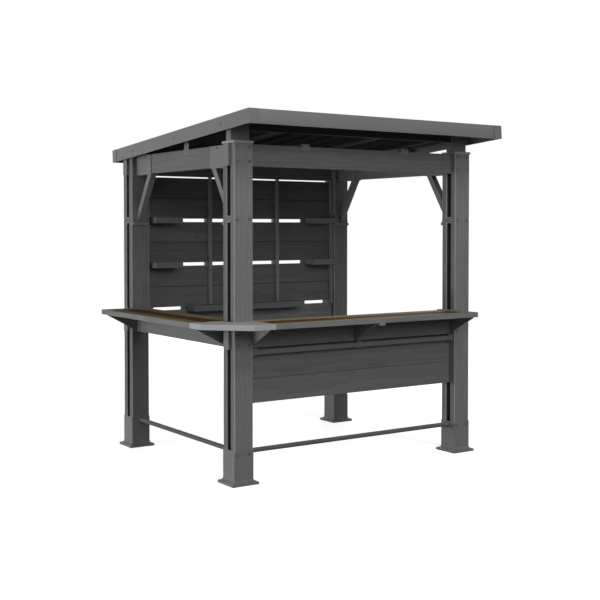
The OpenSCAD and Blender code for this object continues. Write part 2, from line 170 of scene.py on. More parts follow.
# %% [markdown]
# ## Stained wood
#
# The timber is planed softwood with a grey stain. Grain runs along each board, so the pattern
# can't use plain object coordinates: every wooden piece carries a `board` attribute, whose Z
# is the way along the board. Stretching noise along that way gives fibres, a wave bent by
# noise gives the broad growth rings, and the bevelled faces, marked by the `edge` attribute,
# are lighter: partly where the stain has rubbed off, partly a painted highlight along the
# edges. Boards that meet in a narrow joint use the same attribute the other way round:
# `edge_lift` below 1 darkens the joint, a painted shade in it. A `shade` attribute paints
# shade: it darkens the faces in the slots of the posts, and a little the narrow sides of their
# boards. That is a guess: the stain is taken to lie thicker there. It is the same on every
# post.

# %% The wood recipe
GRAIN_RELIEF = 0.6 * MM
# Painted shade: the tone that the `shade` attribute multiplies into the wood.
SLOT_PAINTED_SHADE = 0.3


def wood(name, dark, light, contrast=1.0, rough=0.72, edge_lift=1.2, knots=0.5,
         variety=0.22, streak_length=1.0, specular=0.16):
    material, w = new_material(name)
    place = w.node("ShaderNodeAttribute", attribute_name="board").outputs["Vector"]
    seed = w.node("ShaderNodeAttribute", attribute_name="seed").outputs["Fac"]
    edge = w.node("ShaderNodeAttribute", attribute_name="edge").outputs["Fac"]
    shade = w.node("ShaderNodeAttribute", attribute_name="shade").outputs["Fac"]
    away = w.node("ShaderNodeCombineXYZ", {"X": w.math("MULTIPLY", seed, 7.0),
                                           "Z": w.math("MULTIPLY", seed, 31.0)})
    moved = w.node("ShaderNodeVectorMath", {0: place, 1: away.outputs[0]}, operation="ADD")
    here = moved.outputs[0]

    drawn_out = (1.0, 1.0, 0.09 / streak_length)
    stretched = w.node("ShaderNodeMapping", {"Vector": here, "Scale": drawn_out})
    fibre = w.node("ShaderNodeTexNoise", {"Vector": stretched.outputs[0], "Scale": 330.0,
                                          "Detail": 3.0, "Roughness": 0.6}).outputs["Fac"]
    streak = w.node("ShaderNodeTexNoise", {"Vector": stretched.outputs[0], "Scale": 62.0,
                                           "Detail": 4.0, "Roughness": 0.62,
                                           "Distortion": 0.35}).outputs["Fac"]
    slow = w.node("ShaderNodeMapping", {"Vector": here, "Scale": (1.0, 1.0, 0.16)})
    rings = w.node("ShaderNodeTexWave", {"Vector": slow.outputs[0], "Scale": 11.0,
                                         "Distortion": 7.5, "Detail": 2.0,
                                         "Detail Scale": 1.3}, wave_type="RINGS",
                   rings_direction="Z", wave_profile="SAW").outputs["Fac"]
    cloud = w.node("ShaderNodeTexNoise", {"Vector": slow.outputs[0], "Scale": 7.0,
                                          "Detail": 2.0}).outputs["Fac"]
    cells = w.node("ShaderNodeMapping", {"Vector": here, "Scale": (1.0, 1.0, 0.42)})
    knot = w.node("ShaderNodeTexVoronoi", {"Vector": cells.outputs[0], "Scale": 3.6,
                                           "Randomness": 1.0}).outputs["Distance"]
    knot = w.math("SUBTRACT", 1.0, w.math("MULTIPLY", knot, 14.0), clamp=True)

    tone = w.math("MULTIPLY", streak, 0.42)
    tone = w.math("ADD", tone, w.math("MULTIPLY", fibre, 0.22))
    tone = w.math("ADD", tone, w.math("MULTIPLY", rings, 0.16))
    tone = w.math("ADD", tone, w.math("MULTIPLY", cloud, 0.20))
    tone = w.math("SUBTRACT", tone, w.math("MULTIPLY", knot, 0.22 * knots))
    tone = w.math("ADD", w.math("MULTIPLY", w.math("SUBTRACT", tone, 0.5), contrast), 0.5)
    lot = w.math("MULTIPLY", w.math("SUBTRACT", seed, 0.5), variety)
    tone = w.math("ADD", tone, lot, clamp=True)
    colour = w.ramp(tone, [(0.22, dark), (0.78, light)])
    # The `edge` faces are lifted by edge_lift: above 1 partly wear, partly a painted highlight.
    lifted = w.blend(1.0, colour, grey(edge_lift), mode="MULTIPLY")
    colour = w.blend(w.math("MULTIPLY", edge, 0.8), colour, lifted)
    # Painted shade where the `shade` attribute is set: the slots and narrow sides of the posts.
    thick = w.blend(1.0, colour, grey(SLOT_PAINTED_SHADE), mode="MULTIPLY")
    colour = w.blend(shade, colour, thick)

    height = w.math("ADD", w.math("MULTIPLY", fibre, 0.5), w.math("MULTIPLY", streak, 0.8))
    bump = w.node("ShaderNodeBump", {"Height": height, "Strength": 0.35,
                                     "Distance": GRAIN_RELIEF})
    gloss = w.math("ADD", w.math("MULTIPLY", streak, 0.16), rough - 0.08)
    shader = w.node("ShaderNodeBsdfPrincipled", {"Base Color": colour, "Roughness": gloss,
                                                 "Normal": bump.outputs[0],
                                                 "Specular IOR Level": specular})
    w.node("ShaderNodeOutputMaterial", {"Surface": shader.outputs[0]})
    print("wood:", name)
    return material


# edge_lift 1.7 paints a highlight along the bevelled edges of the posts and rails.
stained_wood = wood("stained_wood", grey(0.102), grey(0.238), contrast=0.75, edge_lift=1.7,
                    variety=0.1)
# The beams are a darker copy of the stained wood: painted shade for the shade under the roof.
beam_wood = wood("beam_wood", grey(0.088), grey(0.190), contrast=0.75, variety=0.1)
# An edge_lift below 1 paints shade into the joints of the panel, wall and plank boards.
panel_wood = wood("panel_wood", grey(0.090), grey(0.190), contrast=0.8, edge_lift=0.4,
                  variety=0.1, streak_length=4.0)
wall_wood = wood("wall_wood", grey(0.076), grey(0.164), contrast=0.8, edge_lift=0.4,
                 variety=0.12, streak_length=4.0)
edge_wood = wood("counter_edge_wood", grey(0.098), grey(0.225), contrast=1.0, knots=0.0)
ledge_wood = wood("ledge_wood", (0.020, 0.013, 0.006, 1), (0.120, 0.078, 0.036, 1),
                  contrast=1.2, rough=0.75, knots=0.0, streak_length=3.0, specular=0.03)
plank_wood = wood("counter_plank_wood", (0.050, 0.032, 0.014, 1), (0.350, 0.245, 0.115, 1),
                  contrast=1.3, rough=0.75, edge_lift=0.15, knots=0.2, variety=0.55,
                  streak_length=3.0, specular=0.03)

# %% [markdown]
# ## Coated steel
#
# The steelwork has a matt grey coating. Parts of one kind always share one material, wherever
# they stand. Two tones are painted light: the underside of the roof and its frame are painted
# dark, a painted shade for the shade under the roof, and the plates on top of the posts are
# painted pale, a painted lit tone. A coating is nearly even, so its life is small: a fine
# pebble in the bump, a slow change of tone and gloss, and folded edges that catch the light
# because the coat is thinner there.

# %% The steel recipe
PEBBLE_RELIEF = 0.2 * MM


def coated_steel(name, tone, tint=(0.985, 1.0, 1.03), rough=0.46, edge_lift=1.16, mottled=0.08,
                 specular=0.22):
    material, w = new_material(name)
    here = w.node("ShaderNodeTexCoord").outputs["Object"]
    edge = w.node("ShaderNodeAttribute", attribute_name="edge").outputs["Fac"]
    pebble = w.node("ShaderNodeTexNoise", {"Vector": here, "Scale": 900.0,
                                           "Detail": 2.0}).outputs["Fac"]
    drift = w.node("ShaderNodeTexNoise", {"Vector": here, "Scale": 2.6, "Detail": 4.0,
                                          "Roughness": 0.55}).outputs["Fac"]
    rubbed = w.node("ShaderNodeTexNoise", {"Vector": here, "Scale": 38.0, "Detail": 5.0,
                                           "Roughness": 0.7}).outputs["Fac"]
    low = grey(tone * (1 - mottled), tint)
    high = grey(tone * (1 + mottled), tint)
    mix = w.math("ADD", w.math("MULTIPLY", drift, 0.7), w.math("MULTIPLY", rubbed, 0.3))
    colour = w.ramp(mix, [(0.3, low), (0.7, high)])
    lifted = w.blend(1.0, colour, grey(edge_lift), mode="MULTIPLY")
    worn = w.math("MULTIPLY", edge, w.math("MULTIPLY", rubbed, 1.5), clamp=True)
    colour = w.blend(worn, colour, lifted)
    gloss = w.math("ADD", w.math("MULTIPLY", rubbed, 0.14), rough - 0.07)
    bump = w.node("ShaderNodeBump", {"Height": pebble, "Strength": 0.12,
                                       "Distance": PEBBLE_RELIEF})
    shader = w.node("ShaderNodeBsdfPrincipled", {"Base Color": colour, "Roughness": gloss,
                                                 "Normal": bump.outputs[0],
                                                 "Specular IOR Level": specular})
    w.node("ShaderNodeOutputMaterial", {"Surface": shader.outputs[0]})
    print("steel:", name)
    return material


steel = coated_steel("grey_coated_steel", 0.155)
ledge_steel = coated_steel("ledge_steel", 0.105)
rail_steel = coated_steel("foot_rail_steel", 0.135, rough=0.7, specular=0.03)
roof_steel = coated_steel("roof_sheet_steel", 0.120, rough=0.42)
underside_painted_shade = coated_steel("roof_underside_painted_shade", 0.030, rough=0.9, specular=0.02)
roof_frame_painted_shade = coated_steel("roof_frame_painted_shade", 0.055, rough=0.7, specular=0.05)
corner_steel = coated_steel("corner_plate_steel", 0.38, rough=0.5, mottled=0.12)
frame_steel = coated_steel("wall_frame_steel", 0.122, tint=(0.96, 1.0, 1.06))
batten_steel = coated_steel("wall_batten_steel", 0.195, tint=(0.96, 1.0, 1.06))
bolt_steel = coated_steel("bolt_steel", 0.115, rough=0.4)
cap_plate_painted_light = coated_steel("cap_plate_painted_lit_tone", 0.30, edge_lift=1.3)
dark_steel = coated_steel("screw_steel", 0.050, rough=0.4)

# %% [markdown]
# ## Easing the edges of CAD parts
#
# Real boards have eased edges and real folded steel has a small radius. A CAD node can't be
# changed, so a worked copy is made: its loose triangles are merged, flat faces become whole
# again, and the sharp edges get a small bevel. The copy then stands for the node.

# %% Worked copies
MERGE = 0.01 * MM
SMOOTH_BELOW = math.radians(40)
AXES = {"x": 0, "y": 1, "z": 2}
pieces = {}


def merged(node):
    bm = bmesh.new()
    bm.from_mesh(nodes[node].data)
    bmesh.ops.remove_doubles(bm, verts=bm.verts, dist=MERGE)
    bmesh.ops.dissolve_limit(bm, angle_limit=math.radians(0.5), verts=bm.verts, edges=bm.edges)
    return bm


def bevelled(bm, width, steps=2, sharp=25.0):
    mark = bm.faces.layers.float.new("edge")
    edges = [e for e in bm.edges if len(e.link_faces) == 2
             and e.calc_face_angle() > math.radians(sharp)]
    done = bmesh.ops.bevel(bm, geom=edges, offset=width, segments=steps, profile=0.5,
                           affect="EDGES", clamp_overlap=True)
    for face in done["faces"]:
        face[mark] = 1.0


def islands(bm):
    """The face lists of the separate solids of a mesh."""
    left = set(bm.faces)
    found = []
    while left:
        stack = [left.pop()]
        group = []
        while stack:
            face = stack.pop()
            group.append(face)
            for edge in face.edges:
                for other in edge.link_faces:
                    if other in left:
                        left.remove(other)
                        stack.append(other)
        found.append(group)
    found.sort(key=lambda group: tuple(round(v, 3) for v in group_corner(group)))
    return found


def group_corner(faces):
    points = [v.co for face in faces for v in face.verts]
    return [min(p[axis] for p in points) for axis in range(3)]


def as_object(name, bm, material):
    mesh = bpy.data.meshes.new(name)
    bm.to_mesh(mesh)
    bm.free()
    mesh.materials.append(material)
    made = bpy.data.objects.new(name, mesh)
    bpy.context.scene.collection.objects.link(made)
    return made


def stand_for(piece, *names, slot):
    """Lets a piece ride on the body and stand for the CAD nodes it was made from."""
    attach(piece, "root")
    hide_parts(*names)
    for name in names:
        pieces[name] = piece
    return piece


def steel_copy(node, material, slot="steel", width=1.0, steps=2, smooth=False):
    """A copy of a steel node with bevelled edges; width is in millimetres."""
    bm = merged(node)
    bevelled(bm, width * MM, steps)
    piece = as_object(node + "_finish", bm, material)
    if smooth:
        piece.data.shade_smooth()
        piece.data.set_sharp_from_angle(angle=SMOOTH_BELOW)
    return stand_for(piece, node, slot=slot)


print("tools for worked copies ready")

# %% [markdown]
# ## Wooden copies know their boards
#
# For wood, each face must know the board it belongs to. `grain` writes the attributes
# `board`, the place on the board with Z along it, `seed`, one number for each board, and
# `shade`, a painted shade that marks the faces in a post's slot and, more weakly, the narrow
# sides of its boards; `edge` comes from the bevel. A solid that holds several boards tells
# them apart by a short rule.

# %% Grain for wooden copies


def scatter(*keys):
    """A steady number from 0 to 1 for one board, made from whole-number keys."""
    total = sum((index + 1) * 12.9898 * key for index, key in enumerate(keys))
    return (math.sin(total) * 43758.5453) % 1.0


def grain(bm, rule, number, deep=None):
    place = bm.loops.layers.float_vector.new("board")
    seed = bm.faces.layers.float.new("seed")
    shade = bm.faces.layers.float.new("shade")
    for index, group in enumerate(islands(bm)):
        for face in group:
            along, key = (rule, 0) if isinstance(rule, str) else rule(face.calc_center_median())
            run = AXES[along]
            first, second = [axis for axis in range(3) if axis != run]
            face[seed] = scatter(number, index, key)
            face[shade] = float(deep(face)) if deep else 0.0
            for loop in face.loops:
                point = loop.vert.co
                loop[place] = (point[first], point[second], point[run])


def wood_copy(node, material, rule, slot="stained_wood", width=2.5, deep=None):
    """A copy of a wooden node with bevelled edges and grain; width is in millimetres."""
    bm = merged(node)
    bevelled(bm, width * MM)
    grain(bm, rule, sorted(nodes).index(node), deep)
    return stand_for(as_object(node + "_wood", bm, material), node, slot=slot)


# %% [markdown]
# ## Posts, beams and rails
#
# Each post is a pair of boards with filler blocks in the slot between them. The front and back
# beams and rails pass through the slots, and the side beams hang in the shoes of the knee
# brackets. A post could be coloured as one block, but then its grain would run across the
# joints. A rule tells its boards apart by depth instead, so each has a grain of its own. The
# post boards are the most rounded, and take the widest bevel. The left rail is a steel tube.

# %% Posts, beams and rails
POST_EASING = 5.5  # in millimetres, as all bevel widths are
# Painted shade: the narrow sides of the post boards are darkened a little, slot faces fully.
NARROW_SIDE_SHADE = 0.3
# The x of a face's normal tells how far it looks sideways, from 0 to 1.
SIDEWAYS = 0.95
NOT_SIDEWAYS = 0.3


def post_rule(centre_y):
    """Front board, the filler in the slot or back board: 1, 2 or 3."""
    slot_start = centre_y - board / 2 + MM
    slot_end = centre_y + board / 2 - MM
    return lambda p: ("z", 1 + (p.y > slot_start) + (p.y > slot_end))


def post_shade(centre_y):
    """Painted shade: full on faces that look into the slot, some on the boards' narrow sides."""
    def shade(face):
        if abs(face.normal.x) > SIDEWAYS:
            return NARROW_SIDE_SHADE
        return float(abs(face.calc_center_median().y - centre_y) < board / 2 + MM
                     and abs(face.normal.x) < NOT_SIDEWAYS)
    return shade


for name in POSTS:
    wood_copy(name, stained_wood, post_rule(middle(name).y), width=POST_EASING,
              deep=post_shade(middle(name).y))

# All four beams take the darker beam wood: painted shade under the roof.
for name, run in (("beam_front", "x"), ("beam_back", "x"), ("beam_left", "y"),
                  ("beam_right", "y")):
    wood_copy(name, beam_wood, run)
for name in ("rail_front", "rail_back"):
    wood_copy(name, stained_wood, "x")
steel_copy("rail_left", ledge_steel, width=2.0)
print("frame timbers:", len(pieces))

# %% [markdown]
# ## The remaining joinery
#
# The panel and the counter's edges mix boards that run different ways. A rule looks at the
# middle of a face and answers with the way the grain runs and a number for the board.

# %% Panel, ledge and counter edges
board_skin = extent("wall_boards").y
panel_low, panel_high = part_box("front_panel")
panel_back = panel_low.y + board_skin + MM
panel_joint = (panel_low.z + panel_high.z) / 2


def panel_rule(p):
    if p.y > panel_back:
        return "z", 10 + round(p.x)
    return "x", int(p.z > panel_joint)


wood_copy("front_panel", panel_wood, panel_rule, width=1.6)
wood_copy("front_ledge", ledge_wood, "x", slot="counter_planks", width=1.0)

trim_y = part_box("planks_left")[1].y
trim_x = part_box("planks_front")[1].x
wood_copy("edge_left", edge_wood, lambda p: ("x", 1) if p.y > trim_y else ("y", 0),
          slot="edge_boards", width=1.5)
wood_copy("edge_front", edge_wood, lambda p: ("y", 1) if p.x > trim_x else ("x", 0),
          slot="edge_boards", width=1.5)
print("joinery done:", len(pieces), "nodes dressed")

# %% [markdown]
# ## The back wall
#
# The wall is a stack of pairs of boards, each pair one solid with a groove in the middle.
# The height of a face above the joints tells which board it belongs to.

# %% Wall boards


def solid_boxes(node):
    bm = merged(node)
    boxes = []
    for group in islands(bm):
        points = [v.co for face in group for v in face.verts]
        boxes.append((Vector(min(p[a] for p in points) for a in range(3)),
                      Vector(max(p[a] for p in points) for a in range(3))))
    bm.free()
    return boxes


wall_joints = [(low.z + high.z) / 2 for low, high in solid_boxes("wall_boards")]
wood_copy("wall_boards", wall_wood, lambda p: ("x", sum(p.z > z for z in wall_joints)),
          slot="dark_wood", width=1.6)
print("wall boards:", 2 * len(wall_joints))

# %% [markdown]
# ## Boards grown by Geometry Nodes
#
# The counter is the same thing repeated: a rounded plank, laid beside the next one. A node
# tree makes one plank from a rounded rectangle that is filled and extruded, and stores the
# `board` place on it. It repeats the plank at a pitch and gives every copy its own `seed`.
# The tree's own seed was picked by trial, for its order of light and dark planks. The copies
# are made real at the end, because instances don't export.

# %% A helper for Geometry Nodes


def geometry_tree(name, inputs):
    """An empty modifier tree with named inputs; returns the tree, its wires and the inputs."""
    tree = bpy.data.node_groups.new(name, "GeometryNodeTree")
    tree.is_modifier = True
    tree.interface.new_socket("Geometry", in_out="OUTPUT", socket_type="NodeSocketGeometry")
    tree.interface.new_socket("Geometry", in_out="INPUT", socket_type="NodeSocketGeometry")
    for label, kind in inputs.items():
        tree.interface.new_socket(label, in_out="INPUT", socket_type="NodeSocket" + kind)
    w = Wires(tree)
    return tree, w, w.node("NodeGroupInput").outputs


def finish_tree(w, geometry, material):
    real = w.node("GeometryNodeRealizeInstances", {"Geometry": geometry})
    coated = w.node("GeometryNodeSetMaterial", {"Geometry": real.outputs[0],
                                                "Material": material})
    w.node("NodeGroupOutput", {"Geometry": coated.outputs[0]})


def grow(name, tree, values, seeds=None):
    """Runs a tree on a mesh of seed points and returns the result as a plain mesh."""
    maker = bpy.data.objects.new(name + "_maker", seeds or bpy.data.meshes.new(name + "_seeds"))
    bpy.context.scene.collection.objects.link(maker)
    modifier = maker.modifiers.new("grow", "NODES")
    modifier.node_group = tree
    sockets = {s.name: s.identifier for s in tree.interface.items_tree if s.in_out == "INPUT"}
    for label, value in values.items():
        modifier[sockets[label]] = value
    maker.update_tag()
    graph = bpy.context.evaluated_depsgraph_get()
    mesh = bpy.data.meshes.new_from_object(maker.evaluated_get(graph), depsgraph=graph,
                                           preserve_all_data_layers=True)
    maker.modifiers.remove(modifier)
    bpy.data.objects.remove(maker)
    mesh.name = name
    return mesh


# %% The tree that lays boards
boards_tree, w, given = geometry_tree("lay_boards", {
    "Width": "Float", "Thickness": "Float", "Length": "Float", "Edge": "Float",
    "Count": "Int", "Pitch": "Float", "Seed": "Int", "Material": "Material"})
outline = w.node("GeometryNodeCurvePrimitiveQuadrilateral",
                 {"Width": given["Width"], "Height": given["Thickness"]})
eased = w.node("GeometryNodeFilletCurve", {"Curve": outline.outputs[0], "Count": 2,
                                           "Radius": given["Edge"]}, mode="POLY")
face = w.node("GeometryNodeFillCurve", {"Curve": eased.outputs[0]}, mode="NGONS")
rise = w.node("ShaderNodeCombineXYZ", {"Z": given["Length"]})
pulled = w.node("GeometryNodeExtrudeMesh", {"Mesh": face.outputs[0], "Offset": rise.outputs[0],
                                            "Individual": False})
under_side = w.node("GeometryNodeFlipFaces", {"Mesh": face.outputs[0]})
closed = w.node("GeometryNodeJoinGeometry")
w.tree.links.new(pulled.outputs["Mesh"], closed.inputs[0])
w.tree.links.new(under_side.outputs[0], closed.inputs[0])
welded = w.node("GeometryNodeMergeByDistance", {"Geometry": closed.outputs[0],
                                                "Distance": MERGE})
aside = w.node("ShaderNodeCombineXYZ", {"X": w.math("MULTIPLY", given["Width"], 0.5)})
shifted = w.node("GeometryNodeTransform", {"Geometry": welded.outputs[0],
                                           "Translation": aside.outputs[0]})
here = w.node("GeometryNodeInputPosition").outputs[0]
known = w.node("GeometryNodeStoreNamedAttribute", {"Geometry": shifted.outputs[0],
                                                   "Name": "board", "Value": here},
               data_type="FLOAT_VECTOR", domain="POINT")
step = w.node("ShaderNodeCombineXYZ", {"X": given["Pitch"]})
row = w.node("GeometryNodeMeshLine", {"Count": given["Count"], "Offset": step.outputs[0]})
laid = w.node("GeometryNodeInstanceOnPoints", {"Points": row.outputs[0],
                                               "Instance": known.outputs[0]})
chance = w.node("FunctionNodeRandomValue", {"ID": w.node("GeometryNodeInputIndex").outputs[0],
                                            "Seed": given["Seed"]}, data_type="FLOAT")
chance_out = next(s for s in chance.outputs if s.type == "VALUE" and s.enabled)
numbered = w.node("GeometryNodeStoreNamedAttribute", {"Geometry": laid.outputs[0],
                                                      "Name": "seed", "Value": chance_out},
                  data_type="FLOAT", domain="INSTANCE")
finish_tree(w, numbered.outputs[0], given["Material"])
print("board tree:", len(boards_tree.nodes), "nodes")

# %% Laying boards in a box
PLANK_EDGE = 2.5 * MM
PLANK_SEED = 9
STRAIGHT = 0.999


def spare_axis(run, stack):
    return next(axis for axis in "xyz" if axis not in (run, stack))


def laid_boards(name, low, high, run, stack, count, gap, edge, seed, material):
    """Boards of equal width in a box: run is the way they lie, stack the way they repeat."""
    thick = spare_axis(run, stack)
    r, s, t = AXES[run], AXES[stack], AXES[thick]
    span = high - low
    width = (span[s] - gap * (count - 1)) / count
    mesh = grow(name, boards_tree, {"Width": width, "Thickness": span[t], "Length": span[r],
                                    "Edge": edge, "Count": count, "Pitch": width + gap,
                                    "Seed": seed, "Material": material})
    corner = low.copy()
    corner[t] += span[t] / 2
    turn = Matrix.Identity(4)
    turn.zero()
    turn[s][0] = turn[r][2] = turn[3][3] = 1.0
    turn[t][1] = 1.0
    if turn.determinant() < 0:
        turn[t][1] = -1.0
    mesh.transform(Matrix.Translation(corner) @ turn)
    mark = mesh.attributes.new("edge", "FLOAT", "FACE")
    mark.data.foreach_set("value", [float(max(abs(v) for v in face.normal) < STRAIGHT)
                                    for face in mesh.polygons])
    return mesh


def joined(name, meshes, material):
    bm = bmesh.new()
    for mesh in meshes:
        bm.from_mesh(mesh)
    for face in bm.faces:
        face.material_index = 0
    return as_object(name, bm, material)


def counter_planks(node, run, stack):
    boxes = solid_boxes(node)
    boxes.sort(key=lambda pair: pair[0][AXES[stack]])
    gap = boxes[1][0][AXES[stack]] - boxes[0][1][AXES[stack]]
    low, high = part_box(node)
    mesh = laid_boards(node + "_laid", low, high, run, stack, len(boxes), gap, PLANK_EDGE,
                       PLANK_SEED, plank_wood)
    piece = joined(node + "_wood", [mesh], plank_wood)
    print(node, "planks:", len(boxes), "gap mm:", round(gap / MM, 1))
    return stand_for(piece, node, slot="counter_planks")


counter_planks("planks_left", "y", "x")
counter_planks("planks_front", "x", "y")

# %% [markdown]
# ## Steelwork
#
# Shoes, brackets, covers, tubes and the roof get a fine folded edge. The foot rails are round,
# so they are smooth except at their ends. Two parts carry a second material on some faces:
# the post caps on the plate that lies on the post, a painted lit tone, and the roof sheet on
# its underside, a painted shade.

# %% Steel parts
LEVEL_SLACK = 0.1 * MM

for name in POSTS:
    steel_copy(name.replace("post", "base"), steel, width=0.8)
    steel_copy(name.replace("post", "bracket"), steel, width=0.8)
for name in ("end_covers", "gussets_left", "gussets_front"):
    steel_copy(name, steel, width=0.6)
caps = steel_copy("post_caps", steel, width=0.6)
levels = sorted({round(v.co.z, 4) for v in nodes["post_caps"].data.vertices})
# The plate under each riser takes a paler material: a painted lit tone.
caps.data.materials.append(cap_plate_painted_light)
for face in caps.data.polygons:
    face.material_index = int(face.center.z < levels[1] + LEVEL_SLACK)
print("cap plate mm:", round((levels[1] - levels[0]) / MM, 1))
steel_copy("ledge_edge", ledge_steel, width=0.6)
for name in ("foot_rail_left", "foot_rail_front"):
    steel_copy(name, rail_steel, width=1.5, smooth=True)
steel_copy("corner_plate", corner_steel, slot="corner_plate", width=1.2)
# Rafters and cross tubes take a dark tone: painted shade under the roof.
for name in ("roof_rafters", "roof_cross_tubes"):
    steel_copy(name, roof_frame_painted_shade, width=1.2)
for name in ("roof_ties", "fascia_front", "fascia_back", "fascia_left", "fascia_right"):
    steel_copy(name, steel, width=1.2)
steel_copy("wall_battens", batten_steel, width=1.2)
for name in ("small_shelves", "long_shelf"):
    steel_copy(name, frame_steel, width=1.2)
roof = steel_copy("roof_sheet", roof_steel, slot="roof_sheet", width=1.5)
# The sheet's underside takes a near-black tone: painted shade under the roof.
roof.data.materials.append(underside_painted_shade)
for face in roof.data.polygons:
    face.material_index = int(face.normal.z < 0)
missing = sorted(set(nodes) - set(pieces))
print("nodes without a finish:", missing)

# %% [markdown]
# ## Bolts and screws
#
# Through bolts with low domed heads hold the boards of each post, and small screws hold the
# shoes, the fascias and the roof sheet. Each place is a point with an `aim`, the way the head
# looks. One tree puts a washer and a dome on every point and turns them along the aim.

# %% The tree that drives fasteners
heads_tree, w, given = geometry_tree("drive_heads", {
    "Radius": "Float", "Height": "Float", "Washer": "Float", "Material": "Material"})
ball = w.node("GeometryNodeMeshUVSphere", {"Segments": 20, "Rings": 10,
                                           "Radius": given["Radius"]})
flatness = w.math("DIVIDE", given["Height"], given["Radius"])
press = w.node("ShaderNodeCombineXYZ", {"X": 1.0, "Y": 1.0, "Z": flatness})
dome = w.node("GeometryNodeTransform", {"Geometry": ball.outputs["Mesh"],
                                        "Scale": press.outputs[0]})
disc = w.node("GeometryNodeMeshCylinder", {
    "Vertices": 28, "Depth": w.math("MULTIPLY", given["Height"], 0.6),
    "Radius": w.math("MULTIPLY", given["Radius"], given["Washer"])}, fill_type="NGON")
both = w.node("GeometryNodeJoinGeometry")
w.tree.links.new(dome.outputs[0], both.inputs[0])
w.tree.links.new(disc.outputs["Mesh"], both.inputs[0])
aimed = w.node("GeometryNodeInputNamedAttribute", {"Name": "aim"}, data_type="FLOAT_VECTOR")
turned = w.node("FunctionNodeAlignRotationToVector", {"Vector": aimed.outputs[0]}, axis="Z")
driven = w.node("GeometryNodeInstanceOnPoints", {"Points": given["Geometry"],
                                                 "Instance": both.outputs[0],
                                                 "Rotation": turned.outputs[0]})
finish_tree(w, driven.outputs[0], given["Material"])

# %% [markdown]
# ## Places of the bolts
#
# Bolts go in pairs, one inset from the edges of a post, wherever a beam, a rail or a filler
# block fills its slot. Another pair holds the sleeve of the foot, and two pairs hold the back
# plate of the knee bracket. They could be placed by hand, but every height is read from the
# CAD parts here, so that a bolt stays with the timber that it holds.

# %% Where the bolts go
INSET = 25 * MM
KNEE_BOLT_ASIDE = 55 * MM
heads = []
screws = []


def put(where, place, aim):
    where.append((Vector(place), Vector(aim).normalized()))


def crown(node, slab=MM):
    """The box of a node's topmost points, which shows a sleeve without its flange."""
    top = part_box(node)[1].z
    rim = [v.co for v in nodes[node].data.vertices if v.co.z > top - slab]
    return (Vector(min(p[a] for p in rim) for a in range(3)),
            Vector(max(p[a] for p in rim) for a in range(3)))


def plate_thickness(node):
    """The first step inward from the post, which is the thickness of the back plate."""
    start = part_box(node)[0].y
    return min(v.co.y for v in nodes[node].data.vertices if v.co.y > start + MM) - start


def filler_level(name):
    """Height of the filler block that shows in a post's slot between rail and beam."""
    spots = [v.co.z for v in nodes[name].data.vertices
             if abs(v.co.y - middle(name).y) < board / 2 + MM
             and rail_high.z + INSET < v.co.z < beam_low.z - INSET]
    return (min(spots) + max(spots)) / 2


plate = plate_thickness("bracket_front_left")
for name in POSTS:
    post = middle(name)
    out = 1.0 if post.y > 0 else -1.0
    skin = post.y + out * half_post
    base_box = crown(name.replace("post", "base"))
    base_skin = base_box[1].y if out > 0 else base_box[0].y
    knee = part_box(name.replace("post", "bracket"))
    levels = [beam_high.z - INSET, beam_low.z + INSET, filler_level(name),
              rail_high.z - INSET, rail_low.z + INSET]
    for side in (-1, 1):
        x = post.x + side * (half_post - INSET)
        for z in levels:
            put(heads, (x, skin, z), (0, out, 0))
        put(heads, (x, base_skin, sleeve_top - INSET), (0, out, 0))
        plate_y = knee[0].y + plate if out < 0 else knee[1].y - plate
        for z in (beam_low.z + INSET, knee[0].z + 1.5 * INSET):
            put(heads, (post.x + side * KNEE_BOLT_ASIDE, plate_y, z), (0, -out, 0))
print("bolts:", len(heads))

# %% [markdown]
# ## Screws in the shoes and the fascias
#
# A small screw sits on each side of every shoe that carries a side beam, and three more along
# each side fascia. The fascias fall with the roof, so their screws have no common height. A
# straight shot is sent at the fascia instead, a set way above its lower edge. The screw sits
# where the shot lands, and looks the way the surface looks there.

# %% Screws in the shoes and the fascias
SHOE_SCREW = 150 * MM
SHOE_SCREW_DROP = 17 * MM
FASCIA_FIRST = 353 * MM
FASCIA_STEP = 654 * MM
FASCIA_UP = 44 * MM
FASCIA_LAST = 100 * MM
FASCIA_CORNER = 20 * MM
STAND_OFF = 100 * MM

for side in ("left", "right"):
    beam = middle("beam_" + side)
    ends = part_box("beam_" + side)
    for face_way in (-1, 1):
        x = beam.x + face_way * (board / 2 + plate)
        for y in (ends[0].y + SHOE_SCREW, ends[1].y - SHOE_SCREW):
            put(screws, (x, y, beam_high.z - SHOE_SCREW_DROP), (face_way, 0, 0))

roof_trees = {name: BVHTree.FromPolygons([v.co for v in nodes[name].data.vertices],
                                         [p.vertices for p in nodes[name].data.polygons])
              for name in nodes if name.startswith(("fascia", "roof_sheet"))}


def shot(name, start, way):
    """Where a straight shot meets a roof part: the place and the way its surface looks."""
    place, normal, _, _ = roof_trees[name].ray_cast(Vector(start), Vector(way))
    return place, normal


def bottom_edge(name, y):
    """Height of the lower edge of a side fascia at a given depth."""
    low_end, high_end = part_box(name)
    spots = sorted((v.co.y, v.co.z) for v in nodes[name].data.vertices)
    front = min(z for yy, z in spots if yy < low_end.y + FASCIA_CORNER)
    back = min(z for yy, z in spots if yy > high_end.y - FASCIA_CORNER)
    share = (y - low_end.y) / (high_end.y - low_end.y)
    return front + (back - front) * share


